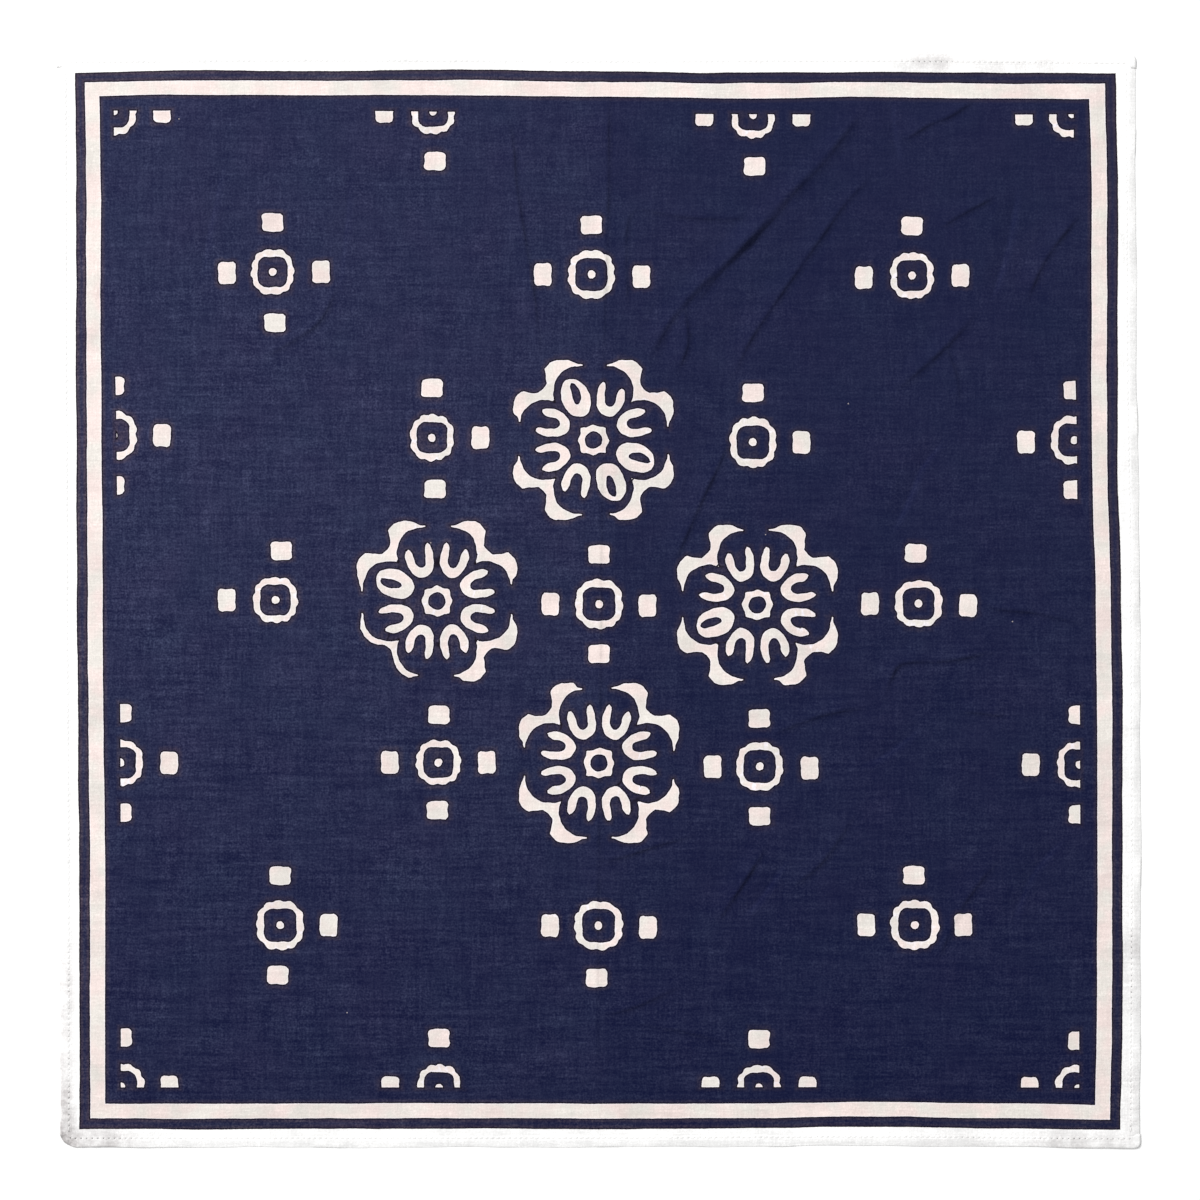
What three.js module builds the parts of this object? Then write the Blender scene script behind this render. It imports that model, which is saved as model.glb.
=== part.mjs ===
import * as THREE from "three";

// A square cotton bandana lying face up on a surface.
// Millimetres. X runs to its right edge, Y to its top edge and Z up, from the middle of its underside.

const CLOTH_WIDTH = 543;
const CLOTH_LENGTH = 549;
const PANEL_WALL = 1.2;
const HEM_WALL = 2.0;
const HEM_DEPTH = 6;
const SEAM_GAP = 0.3;

// How finely the walls are divided.
const PANEL_CELL = 9;
const HEM_CELL = 12;
const HEM_ROWS = 2;
const CORNER_CELL = 2.5;
const CORNER_REACH = 10;

// A plain rectangle in the underside, off centre so that one triangle of it spans the middle.
const REST_PATCH = { left: -60, right: 180, bottom: -120, top: 120 };

// How far each laid edge lies in from the widest point, at five even steps.
// Left and right are read from the bottom up, bottom and top from the left.
const EDGE_INSETS = {
  left: [1.5, 1.5, 0.8, 0.3, 0],
  right: [0.5, 0, 0.5, 2.2, 2.8],
  bottom: [0.3, 0.2, 0.4, 1.0, 0],
  top: [0.8, 0, 0.5, 0.2, 1.2],
};

const CORNER_RADII = { bottomLeft: 9.5, bottomRight: 3.5, topLeft: 3.5, topRight: 3.5 };

// The largest creases: crest height above the flat cloth, half width, and the way each one runs.
const CREASES = [
  { name: "middle fold", height: 0.8, halfWidth: 8, path: [[5, 250], [4, 120], [2, 0], [1, -264]] },
  { name: "long slant", height: 1.5, halfWidth: 10, path: [[141, 245], [99, 205], [45, 151], [24, 120]] },
  { name: "slant fork", height: 0.9, halfWidth: 8, path: [[41, 135], [36, 122], [33, 110]] },
  { name: "second slant", height: 1.2, halfWidth: 9, path: [[137, 212], [95, 159], [80, 132], [64, 109]] },
  { name: "slant tail", height: 0.9, halfWidth: 8, path: [[64, 75], [51, 44], [39, 25]] },
  { name: "bent ridge", height: 0.9, halfWidth: 8, path: [[78, 193], [22, 196], [12, 189], [12, 140]] },
  { name: "upper left of fold", height: 0.7, halfWidth: 8, path: [[-43, 228], [-28, 120]] },
  { name: "right upper", height: 0.8, halfWidth: 8, path: [[185, 140], [148, 105]] },
  { name: "right middle", height: 0.8, halfWidth: 8, path: [[171, 78], [160, 52], [148, 25]] },
  { name: "right long", height: 0.6, halfWidth: 9, path: [[210, 205], [202, 147], [160, 52]] },
  { name: "right level", height: 0.9, halfWidth: 8, path: [[236, -6], [202, -4], [183, -14]] },
  { name: "lower slant", height: 1.0, halfWidth: 9, path: [[183, -25], [156, -29], [122, -56], [95, -66]] },
  { name: "lower middle", height: 0.6, halfWidth: 8, path: [[7, -135], [26, -133], [45, -121]] },
  { name: "lower right", height: 0.6, halfWidth: 8, path: [[78, -129], [60, -152]] },
  { name: "left upper", height: 0.6, halfWidth: 8, path: [[-184, 208], [-198, 170]] },
  { name: "left long", height: 0.7, halfWidth: 8, path: [[-121, 205], [-129, 147], [-165, 120]] },
  { name: "bottom edge", height: 0.5, halfWidth: 8, path: [[26, -213], [68, -224]] },
];
const CREASE_TAPER = 0.3;

const navyCloth = new THREE.MeshStandardMaterial({ color: 0x343a60, roughness: 0.95, metalness: 0 });
const whiteHem = new THREE.MeshStandardMaterial({ color: 0xf4efee, roughness: 0.95, metalness: 0 });

function smooth(t) {
  const clamped = Math.min(Math.max(t, 0), 1);
  return clamped * clamped * (3 - 2 * clamped);
}

function mix(from, to, t) {
  return from + (to - from) * t;
}

// The inset of one edge, a share of the way along it.
function insetAt(insets, share) {
  const place = Math.min(Math.max(share, 0), 1) * (insets.length - 1);
  const step = Math.min(Math.floor(place), insets.length - 2);
  return mix(insets[step], insets[step + 1], smooth(place - step));
}

function cornerRadius(u, v) {
  const side = u < 0 ? "Left" : "Right";
  return CORNER_RADII[(v < 0 ? "bottom" : "top") + side];
}

// Draws the square corner of the cut cloth in to its rounded corner.
function roundCorner(u, v) {
  const radius = cornerRadius(u, v);
  const a = (Math.abs(u) - (CLOTH_WIDTH / 2 - radius)) / radius;
  const b = (Math.abs(v) - (CLOTH_LENGTH / 2 - radius)) / radius;
  if (a <= 0 || b <= 0) {
    return [u, v];
  }
  const across = CLOTH_WIDTH / 2 - radius + radius * a * Math.sqrt(1 - (b * b) / 2);
  const along = CLOTH_LENGTH / 2 - radius + radius * b * Math.sqrt(1 - (a * a) / 2);
  return [Math.sign(u) * across, Math.sign(v) * along];
}

// Where a point of the square cut cloth lies once the bandana is laid down.
function laid(u, v) {
  const [across, along] = roundCorner(u, v);
  const shareX = across / CLOTH_WIDTH + 0.5;
  const shareY = along / CLOTH_LENGTH + 0.5;
  const left = -CLOTH_WIDTH / 2 + insetAt(EDGE_INSETS.left, shareY);
  const right = CLOTH_WIDTH / 2 - insetAt(EDGE_INSETS.right, shareY);
  const bottom = -CLOTH_LENGTH / 2 + insetAt(EDGE_INSETS.bottom, shareX);
  const top = CLOTH_LENGTH / 2 - insetAt(EDGE_INSETS.top, shareX);
  return [mix(left, right, shareX), mix(bottom, top, shareY)];
}

function pathLength(path) {
  let length = 0;
  for (let i = 1; i < path.length; i += 1) {
    length += Math.hypot(path[i][0] - path[i - 1][0], path[i][1] - path[i - 1][1]);
  }
  return length;
}

// The distance from a point to a crease, and how far along it the nearest place is.
function nearestOnPath(path, x, y) {
  let nearest = { distance: Infinity, along: 0 };
  let passed = 0;
  for (let i = 1; i < path.length; i += 1) {
    const [ax, ay] = path[i - 1];
    const [dx, dy] = [path[i][0] - ax, path[i][1] - ay];
    const length = Math.hypot(dx, dy);
    const dot = ((x - ax) * dx + (y - ay) * dy) / (length * length);
    const t = Math.min(Math.max(dot, 0), 1);
    const distance = Math.hypot(x - ax - dx * t, y - ay - dy * t);
    if (distance < nearest.distance) {
      nearest = { distance, along: passed + length * t };
    }
    passed += length;
  }
  return nearest;
}

function oneCreaseHeight(crease, x, y) {
  const { distance, along } = nearestOnPath(crease.path, x, y);
  if (distance >= crease.halfWidth) {
    return 0;
  }
  const share = along / pathLength(crease.path);
  const taper = smooth(Math.min(share, 1 - share) / CREASE_TAPER);
  return crease.height * taper * (0.5 + 0.5 * Math.cos((Math.PI * distance) / crease.halfWidth));
}

function creaseHeight(x, y) {
  return Math.max(...CREASES.map((crease) => oneCreaseHeight(crease, x, y)));
}

// Even steps between two values, none longer than the given one.
function evenSteps(from, to, longest) {
  const count = Math.ceil((to - from) / longest);
  return Array.from({ length: count + 1 }, (_, i) => mix(from, to, i / count));
}

// Even steps, with short ones at both ends where the corners are round.
function stepsWithCorners(from, to, longest) {
  const first = evenSteps(from, from + CORNER_REACH, CORNER_CELL);
  const middle = evenSteps(from + CORNER_REACH, to - CORNER_REACH, longest);
  const last = evenSteps(to - CORNER_REACH, to, CORNER_CELL);
  return [...first.slice(0, -1), ...middle, ...last.slice(1)];
}

// Adds a grid of points at a height, and gives back their numbers, row by row.
function addGrid(points, columns, rows, heightAt) {
  return rows.map((v) => columns.map((u) => {
    const [x, y] = laid(u, v);
    points.push([x, y, heightAt(x, y)]);
    return points.length - 1;
  }));
}

function addCells(faces, grid, faceUp) {
  for (let j = 1; j < grid.length; j += 1) {
    for (let i = 1; i < grid[j].length; i += 1) {
      const [a, b] = [grid[j - 1][i - 1], grid[j - 1][i]];
      const [c, d] = [grid[j][i], grid[j][i - 1]];
      faces.push(...(faceUp ? [[a, b, c], [a, c, d]] : [[a, c, b], [a, d, c]]));
    }
  }
}

// The four sides of a grid's border, anticlockwise from its first corner.
function gridSides(grid) {
  const bottom = grid[0];
  const right = grid.map((row) => row[row.length - 1]);
  const top = [...grid[grid.length - 1]].reverse();
  const left = grid.map((row) => row[0]).reverse();
  return [bottom, right, top, left];
}

function addEdgeWalls(faces, upperSides, lowerSides) {
  upperSides.forEach((upper, side) => {
    const lower = lowerSides[side];
    for (let i = 1; i < upper.length; i += 1) {
      faces.push([lower[i - 1], lower[i], upper[i]], [lower[i - 1], upper[i], upper[i - 1]]);
    }
  });
}

// Copies the border points down to the surface, each corner once.
function dropSides(points, upperSides) {
  const dropped = new Map();
  return upperSides.map((side) => side.map((number) => {
    if (!dropped.has(number)) {
      const [x, y] = points[number];
      points.push([x, y, 0]);
      dropped.set(number, points.length - 1);
    }
    return dropped.get(number);
  }));
}

// The underside: a plain rectangle, and fans from its corners out to the border.
function addRestFaces(points, faces, lowerSides) {
  const { left, right, bottom, top } = REST_PATCH;
  const first = points.length;
  points.push([left, bottom, 0], [right, bottom, 0], [right, top, 0], [left, top, 0]);
  faces.push([first, first + 2, first + 1], [first, first + 3, first + 2]);
  lowerSides.forEach((side, corner) => {
    const start = first + corner;
    const end = first + ((corner + 1) % 4);
    const middle = Math.floor(side.length / 2);
    for (let i = 1; i < side.length; i += 1) {
      faces.push([side[i], side[i - 1], i <= middle ? start : end]);
    }
    faces.push([side[middle], start, end]);
  });
}

function toGeometry(points, faces) {
  const geometry = new THREE.BufferGeometry();
  geometry.setAttribute("position", new THREE.Float32BufferAttribute(points.flat(), 3));
  geometry.setIndex(faces.flat());
  geometry.computeVertexNormals();
  return geometry;
}

// The printed square: its top follows the creases, its underside rests flat.
function makePanel() {
  const halfWidth = CLOTH_WIDTH / 2 - HEM_DEPTH - SEAM_GAP / 2;
  const halfLength = CLOTH_LENGTH / 2 - HEM_DEPTH - SEAM_GAP / 2;
  const columns = evenSteps(-halfWidth, halfWidth, PANEL_CELL);
  const rows = evenSteps(-halfLength, halfLength, PANEL_CELL);
  const points = [];
  const faces = [];
  const upper = addGrid(points, columns, rows, (x, y) => PANEL_WALL + creaseHeight(x, y));
  addCells(faces, upper, true);
  const upperSides = gridSides(upper);
  const lowerSides = dropSides(points, upperSides);
  addEdgeWalls(faces, upperSides, lowerSides);
  addRestFaces(points, faces, lowerSides);
  return toGeometry(points, faces);
}

// One turned edge, a flat strip thicker than the panel.
function makeHem(columns, rows) {
  const points = [];
  const faces = [];
  const upper = addGrid(points, columns, rows, () => HEM_WALL);
  const lower = addGrid(points, columns, rows, () => 0);
  addCells(faces, upper, true);
  addCells(faces, lower, false);
  addEdgeWalls(faces, gridSides(upper), gridSides(lower));
  return toGeometry(points, faces);
}

// The bottom and top hems run right across the width.
function makeCrossHem(outer, inner) {
  const columns = stepsWithCorners(-CLOTH_WIDTH / 2, CLOTH_WIDTH / 2, HEM_CELL);
  const rows = evenSteps(Math.min(outer, inner), Math.max(outer, inner), HEM_DEPTH / HEM_ROWS);
  return makeHem(columns, rows);
}

// The side hems fit between the bottom and top ones.
function makeSideHem(outer, inner) {
  const end = CLOTH_LENGTH / 2 - HEM_DEPTH - SEAM_GAP / 2;
  const columns = evenSteps(Math.min(outer, inner), Math.max(outer, inner), HEM_DEPTH / HEM_ROWS);
  return makeHem(columns, stepsWithCorners(-end, end, HEM_CELL));
}

function addPiece(group, name, geometry, material) {
  const mesh = new THREE.Mesh(geometry, material);
  mesh.name = name;
  group.add(mesh);
}

const hemInnerX = CLOTH_WIDTH / 2 - HEM_DEPTH + SEAM_GAP / 2;
const hemInnerY = CLOTH_LENGTH / 2 - HEM_DEPTH + SEAM_GAP / 2;

const bandana = new THREE.Group();
bandana.name = "bandana";
addPiece(bandana, "cloth_panel", makePanel(), navyCloth);
addPiece(bandana, "hem_bottom", makeCrossHem(-CLOTH_LENGTH / 2, -hemInnerY), whiteHem);
addPiece(bandana, "hem_top", makeCrossHem(CLOTH_LENGTH / 2, hemInnerY), whiteHem);
addPiece(bandana, "hem_left", makeSideHem(-CLOTH_WIDTH / 2, -hemInnerX), whiteHem);
addPiece(bandana, "hem_right", makeSideHem(CLOTH_WIDTH / 2, hemInnerX), whiteHem);

export default bandana;
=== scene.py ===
import math

import bpy
import numpy as np
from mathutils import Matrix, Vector
from mathutils.geometry import delaunay_2d_cdt


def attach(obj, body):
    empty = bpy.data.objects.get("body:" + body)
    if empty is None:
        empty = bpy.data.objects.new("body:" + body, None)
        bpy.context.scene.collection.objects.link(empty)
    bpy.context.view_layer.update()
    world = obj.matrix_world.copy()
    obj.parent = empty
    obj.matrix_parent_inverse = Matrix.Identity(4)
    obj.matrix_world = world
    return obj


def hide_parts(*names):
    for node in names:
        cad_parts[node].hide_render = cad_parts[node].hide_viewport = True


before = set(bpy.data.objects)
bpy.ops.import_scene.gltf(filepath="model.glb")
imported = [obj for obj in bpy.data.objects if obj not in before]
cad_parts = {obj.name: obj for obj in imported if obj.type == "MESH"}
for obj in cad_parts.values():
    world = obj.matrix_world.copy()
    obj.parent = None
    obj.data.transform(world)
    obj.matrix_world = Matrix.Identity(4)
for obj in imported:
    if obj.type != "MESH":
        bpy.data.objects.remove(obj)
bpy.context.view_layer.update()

# A square cotton gauze bandana, navy print up, laid flat. Metres, X to its right edge, Y to its top edge.
# Tables and small finishing sizes are in millimetres and are turned to metres by MM.
MM = 0.001

# Camera, light and floor
PHOTO_SPAN = 0.600
PHOTO_MIDDLE_X = 0.0005
LENS = 85
SENSOR = 36
CLOTH_LEVEL = 0.001
SOFTBOX_PLACE = (-3.9, 3.4, 3.8)
SOFTBOX_SIZE = 2.2
SOFTBOX_POWER = 450
SURROUNDINGS_STRENGTH = 0.5
FLOOR_SIZE = 14

# The cut cloth, its hems and its thickness
CLOTH_WIDTH = 0.543
CLOTH_LENGTH = 0.549
HEM_DEPTH = 0.006
SEAM_GAP = 0.0003
GAUZE_THICKNESS = 0.00035
PANEL_RIM_TOP = 0.0008
PANEL_TOP = 0.0012
PANEL_LOWEST = 0.0004
CORNER_RADII = {"bottom_left": 9.5, "bottom_right": 3.5, "top_left": 3.5, "top_right": 3.5}

# How far each laid edge lies in from the widest point, at five even steps, in millimetres.
# Left and right are read from the bottom up, bottom and top from the left.
EDGE_INSETS = {
    "left": [1.5, 1.5, 0.8, 0.3, 0.0],
    "right": [0.5, 0.0, 0.5, 2.2, 2.8],
    "bottom": [0.3, 0.2, 0.4, 1.0, 0.0],
    "top": [0.8, 0.0, 0.5, 0.2, 1.2],
}

# The same for the outer line of the print, at nine even steps.
PRINT_INSETS = {
    "left": [12.0, 11.8, 11.8, 11.1, 10.6, 10.4, 10.1, 10.2, 9.5],
    "right": [10.9, 9.8, 9.8, 9.8, 10.5, 12.2, 12.3, 12.1, 13.3],
    "bottom": [10.3, 10.0, 10.2, 10.3, 10.1, 10.3, 11.2, 10.4, 9.6],
    "top": [11.1, 9.7, 9.9, 9.5, 10.2, 11.0, 10.4, 11.1, 11.2],
}

# The print: an outer navy stripe, a pale band, then the navy field, in millimetres from its outer line.
STRIPE_WIDTH = 4.95
BAND_WIDTH = 7.7
# How far the ink runs past its lines, how soft and how ragged its edges are, and how far the print's outer
# line, the pale band's outer line and its inner one wander.
INK_SPREAD = 0.17
INK_SOFTNESS = 0.07
INK_RAGGEDNESS = 0.3
OUTER_WANDER = 1.4
STRIPE_WANDER = 1.2
BAND_WANDER = -1.0
# How far from the ink's edge its browner cast, its darkest rim and the whiter cotton beside it reach, and
# how softly they end.
EDGE_CAST_REACH = 1.7
EDGE_CAST_SOFTNESS = 0.9
EDGE_INK_REACH = 0.46
EDGE_COTTON_REACH = 0.42
EDGE_SOFTNESS = 0.3
# How wide the stripe and the band are together along each side, at five even steps.
FRAME_WIDTHS = {
    "left": [12.9, 12.9, 12.8, 12.4, 12.1],
    "right": [13.0, 12.7, 12.7, 13.1, 13.6],
    "bottom": [12.7, 12.7, 12.7, 12.5, 12.3],
    "top": [11.9, 12.4, 12.8, 12.8, 12.9],
}
# The ornaments are cut off straight at a window inside the band: how far its lines lie in.
WINDOW_INSETS = {
    "left": [32.3, 32.3, 32.3, 32.1, 31.3, 30.3, 29.2, 28.9, 28.7],
    "right": [31.3, 31.3, 30.7, 30.9, 31.7, 32.4, 33.6, 33.9, 34.2],
    "bottom": [30.7, 30.7, 30.7, 30.7, 30.7, 30.8, 30.9, 30.7, 30.3],
    "top": [29.7, 29.7, 29.7, 30.3, 30.8, 31.5, 31.7, 31.7, 31.3],
}

# Each ring's middle on the laid cloth, its width and height, which blocks stand round it (top, bottom,
# left and right), and how far any block stands off its usual place.
RINGS = [
    (-242.7, 244.3, 23.5, 24.5, "R", {}),
    (-83.0, 244.3, 22.5, 23.5, "LB", {"B": (1.0, 0.0)}),
    (77.0, 242.5, 22.5, 24.0, "LRB", {"B": (0.8, -0.8)}),
    (236.7, 243.0, 24.0, 24.0, "L", {}),
    (-163.2, 164.0, 22.0, 23.5, "TBLR", {"L": (1.5, -0.5), "B": (1.2, -0.5)}),
    (-3.8, 162.7, 24.0, 25.0, "TLR", {"R": (0.8, -1.0)}),
    (156.5, 162.2, 22.5, 24.0, "TLR", {"L": (0.2, -1.0)}),
    (-242.7, 82.3, 24.0, 25.0, "TBR", {}),
    (-83.5, 81.2, 22.5, 24.0, "TBR", {"B": (1.5, -0.8)}),
    (77.0, 78.8, 24.0, 26.0, "TR", {}),
    (237.6, 80.0, 24.0, 25.0, "TBL", {"L": (0.2, -1.0)}),
    (-161.8, 0.0, 23.0, 23.5, "TL", {"T": (3.0, -0.2)}),
    (0.0, -2.0, 24.5, 25.5, "TBLR", {"R": (0.0, -0.8)}),
    (159.8, -1.9, 24.5, 24.0, "TLR", {"T": (-1.5, 0.5), "R": (0.5, -0.8)}),
    (-239.1, -81.4, 23.0, 23.5, "TBR", {}),
    (-80.3, -81.2, 23.0, 23.0, "TBLR", {"T": (0.2, -1.0), "B": (-0.5, 1.0)}),
    (80.3, -83.2, 24.0, 25.0, "TBLR", {"T": (-0.2, -0.8), "L": (0.8, -0.2), "R": (0.8, -0.8)}),
    (240.2, -82.3, 23.0, 23.5, "TBL", {}),
    (-159.4, -162.6, 24.5, 25.5, "TBR", {"B": (-1.2, 0.0)}),
    (-0.2, -162.8, 25.0, 25.0, "BLR", {"B": (-1.0, -1.2), "R": (0.5, -0.8)}),
    (157.9, -162.4, 25.0, 25.5, "TLR", {"T": (-0.5, 0.0)}),
    (-238.9, -243.5, 24.0, 24.0, "TR", {}),
    (-80.0, -243.8, 22.5, 24.0, "TL", {}),
    (80.0, -243.9, 22.5, 23.5, "TLR", {"T": (0.0, -0.4)}),
    (239.6, -244.2, 24.0, 24.0, "TL", {"T": (0.3, -1.0)}),
]

# Each rosette's middle, and which of its eight petals are closed, counted anticlockwise from the one just
# left of its top. Then its four wings, counted the same way from the upper right: which is thin, and how
# far the tips of their two horns stay from the middle lines of the lobes that they reach round.
ROSETTES = [
    {
        "middle": (-2.8, 80.0),
        "closed": [0, 4, 5],
        "thin": [],
        "horns": [(6.6, 6.4), (8.9, 5.0), (5.6, 7.8), (6.8, 8.2)],
    },
    {
        "middle": (-81.0, -0.6),
        "closed": [1],
        "thin": [2],
        "horns": [(6.9, 8.4), (4.9, 5.8), (9.3, 5.8), (6.2, 8.3)],
    },
    {
        "middle": (79.2, -2.4),
        "closed": [2],
        "thin": [],
        "horns": [(5.6, 6.3), (6.7, 7.0), (7.0, 6.0), (6.0, 8.2)],
    },
    {
        "middle": (0.0, -81.5),
        "closed": [],
        "thin": [],
        "horns": [(5.9, 5.8), (7.8, 8.3), (5.8, 5.9), (7.8, 5.9)],
    },
]

# Ring, dot and block sizes in millimetres, and how far from a ring's middle any of them reaches
RING_SCALLOPS = 12
RING_SQUARENESS = 2.35
RING_STEPS = 144
SCALLOP_DEPTH = 0.9
RING_HOLE_SHARE = 0.322
RING_HOLE_ROUNDNESS = 0.57
DOT_RADIUS = 2.1
BLOCK_REACH = {"T": 24.8, "B": 24.9, "L": 24.3, "R": 24.2}
BLOCK_TURN = {"T": 0, "B": 180, "L": 90, "R": -90}
BLOCK_HALF_WIDTH = {"T": 5.8, "B": 5.8, "L": 6.1, "R": 6.1}
BLOCK_HALF_LENGTH = {"T": 4.7, "B": 4.7, "L": 4.5, "R": 4.5}
BLOCK_CORNER = 2.6
BLOCK_PINCH = 0.55
RING_REACH = 36

# Rosette sizes in millimetres, and how far from its middle any of them reaches
STAR_TIP = 7.95
STAR_CORNER = 8.9
STAR_VALLEY = 7.3
STAR_HOLE = 4.25
LOBE_OUT = 18.5
LOBE_ACROSS = 20.1
LOBE_RISE = 18.6
LOBE_SQUARENESS = 3.2
WING_CUSP = 18.6
WING_NECK = [(20.0, 22.8), (19.4, 20.4)]
PETAL_SQUARENESS = 2.1
ROSETTE_REACH = 44

# An open petal is a stroke: place across from the lobe's middle, place out, half width.
OPEN_PETAL = [
    (5.0, 28.9, 0.5),
    (4.7, 27.0, 1.6),
    (3.9, 23.6, 2.0),
    (3.6, 20.5, 2.1),
    (3.8, 17.8, 2.2),
    (5.3, 15.2, 2.4),
    (8.0, 14.1, 2.6),
    (10.6, 15.3, 2.15),
    (12.4, 17.6, 2.1),
    (13.4, 20.0, 2.2),
    (13.9, 22.6, 2.15),
    (14.4, 25.0, 1.0),
]
# A closed petal is an oval with a slanted slot: the slot's stroke has the same three columns.
CLOSED_PETAL = {"across": 8.8, "out": 21.0, "half_width": 7.35, "half_length": 9.6, "lean": 0.2}
PETAL_SLOT = [(10.7, 28.1, 0.5), (9.9, 26.4, 1.6), (8.8, 23.5, 2.05), (8.2, 20.6, 1.8), (7.9, 18.9, 1.1)]
# Half of a wing's outer side, from behind the horn's tip to the notch: place across, place out.
WING_OUTER = [
    (12.8, 40.0),
    (15.5, 40.2),
    (19.0, 40.0),
    (21.6, 38.9),
    (24.6, 35.5),
    (23.8, 32.2),
    (23.5, 27.8),
    (25.2, 25.6),
]
THIN_WING_OUTER = [
    (13.4, 38.4),
    (17.6, 36.6),
    (20.5, 33.4),
    (21.8, 29.5),
    (22.3, 25.9),
    (23.4, 23.8),
]
HORN_LENGTH = 2.6
HORN_THICKNESS = 0.85
HORN_RISE = 0.35

# Creases in the laid cloth, in millimetres: how high each stands, how wide its steep side is, and the
# places that it runs through. The steep side is on the left of its way, turned from the light; a crease
# with a rise under zero is a small step up to its left instead.
CREASES = [
    (0.5, 1.3, [(5.5, 266), (4.3, 240), (4.2, 205), (3, 160), (2, 120)]),
    (0.3, 1.3, [(2, 150), (1, 60), (0, -60), (-1, -170), (-1, -266)]),
    (1.05, 2.9, [(136, 251), (122, 233), (110, 218), (93, 201), (76, 182), (58, 165)]),
    (1.05, 2.8, [(84, 191), (66, 172), (50, 157), (40, 146), (32, 135), (22, 114)]),
    (0.6, 1.6, [(98, 202), (82, 186), (63, 167), (46, 146)]),
    (0.75, 1.6, [(42, 152), (43, 140), (44, 128), (38, 112)]),
    (0.75, 1.7, [(141, 217), (124, 200), (111, 182), (99, 165), (85, 145), (73, 126), (64, 104)]),
    (0.75, 1.5, [(66, 87), (61, 71), (52, 52), (44, 34), (36, 16)]),
    (0.6, 1.6, [(84, 192), (60, 191), (42, 192), (30, 194), (20, 196), (15, 193)]),
    (0.5, 1.6, [(20, 197), (14, 190), (13, 170), (14, 143)]),
    (0.6, 1.3, [(-47, 250), (-43, 224), (-42, 210), (-38, 184), (-33, 154), (-29, 117)]),
    (0.8, 1.5, [(189, 251), (175, 242), (165, 238), (151, 229)]),
    (-0.5, 1.4, [(146, 250), (148, 230), (151, 217)]),
    (0.8, 1.5, [(198, 202), (181, 193), (170, 186)]),
    (-0.65, 1.6, [(209, 208), (206, 185), (201, 165), (196, 148)]),
    (0.75, 1.6, [(242, 195), (228, 178), (220, 165), (213, 148)]),
    (0.95, 2.2, [(189, 145), (175, 129), (163, 118), (147, 104)]),
    (0.5, 1.4, [(172, 128), (178, 113), (180, 97)]),
    (-0.7, 1.5, [(173, 81), (161, 66), (155, 51), (145, 31)]),
    (0.8, 1.6, [(242, -12), (218, -6), (199, -4), (186, 2)]),
    (0.75, 1.6, [(200, -25), (174, -30), (153, -31), (147, -36), (141, -53)]),
    (0.75, 1.8, [(137, -53), (116, -56), (101, -61), (85, -67)]),
    (0.6, 1.5, [(204, -58), (190, -56), (179, -55)]),
    (-0.5, 1.6, [(163, -62), (142, -78), (128, -82)]),
    (0.85, 1.5, [(84, -122), (72, -141), (58, -162)]),
    (-0.5, 1.5, [(95, -128), (80, -150), (69, -160)]),
    (0.65, 1.5, [(49, -117), (27, -123), (12, -128), (-2, -131)]),
    (0.6, 1.7, [(-129, 162), (-139, 141), (-150, 132), (-169, 121)]),
    (-0.4, 1.6, [(-124, 215), (-128, 175), (-131, 150)]),
    (-0.45, 1.6, [(-187, 221), (-194, 190), (-199, 158)]),
    (0.55, 1.6, [(42, -192), (18, -203), (-2, -208)]),
    (0.5, 1.7, [(78, -226), (46, -216), (16, -211)]),
    (0.55, 1.7, [(202, -126), (182, -152), (168, -182)]),
    (-0.45, 1.7, [(234, -117), (216, -138), (206, -164)]),
    (0.55, 1.7, [(128, -106), (112, -130), (94, -145)]),
]
# The share of its length in which a crease fades out at each end, and how far it reaches to its sides.
CREASE_TAPER = 0.25
CREASE_REACH = 10
CREASE_CURVE_STEPS = 4
# The section of a crease: steps of distance from its crest and share of its rise, in millimetres on the
# gentle side and in widths of the steep side on the other.
GENTLE_SIDE = [(0.0, 1.0), (3.0, 0.62), (6.0, 0.27), (9.0, 0.0)]
STEEP_SIDE = [(0.0, 1.0), (1.0, -0.1), (2.4, -0.06), (4.5, 0.0)]
# Mesh rows along a crease: their step, and an extra one on its gentle side.
CREASE_STEP = 2.4
EXTRA_ROW = -1.2

# The cloth's faint unevenness: height, wavelength and direction of each ripple, in millimetres and degrees.
RIPPLES = [(0.05, 31, 38), (0.04, 19, 62), (0.035, 14, 25), (0.04, 47, 110), (0.03, 23, 150)]

# Mesh steps in millimetres: the grid, how far its finer points go either side of an ornament's outline, how
# far crease rows stay off the rim, and how near points become one. Then a sharp edge's angle in degrees.
FINE_STEP = 1.2
COARSE_EVERY = 3
OUTLINE_REACH = 1.3
CREASE_OFF_RIM = 4
MERGE_DISTANCE = 0.05
SHARP_ANGLE = 55

# Hem and stitching, in millimetres: the closed section of a hem as distance in from the edge and height.
HEM_SECTION = [
    (0.35, 0.1), (0.0, 0.42), (0.15, 0.7), (0.7, 0.88), (2.2, 0.93), (3.8, 0.92), (4.6, 0.89), (5.0, 0.86),
    (5.4, 0.88), (6.0, 0.83), (6.3, 0.78), (7.4, 0.6), (7.4, 0.44), (3.2, 0.08),
]
STITCH_ROW = 5.0
STITCH_PITCH = 2.8
STITCH_LENGTH = 1.9
STITCH_HEIGHT = 0.87
THREAD_THICKNESS = 0.3
# Needle holes: their depth, and the stations about each, in stitch pitches.
HOLE_DEPTH = 0.35
HOLE_STATIONS = (-0.15, 0.0, 0.15, 0.5)
# The round ends of a hem: stations from its end, and how high its very end is beside the rest.
END_STATIONS = (0.0, 0.4, 1.2)
END_HEIGHT = 0.45
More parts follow.
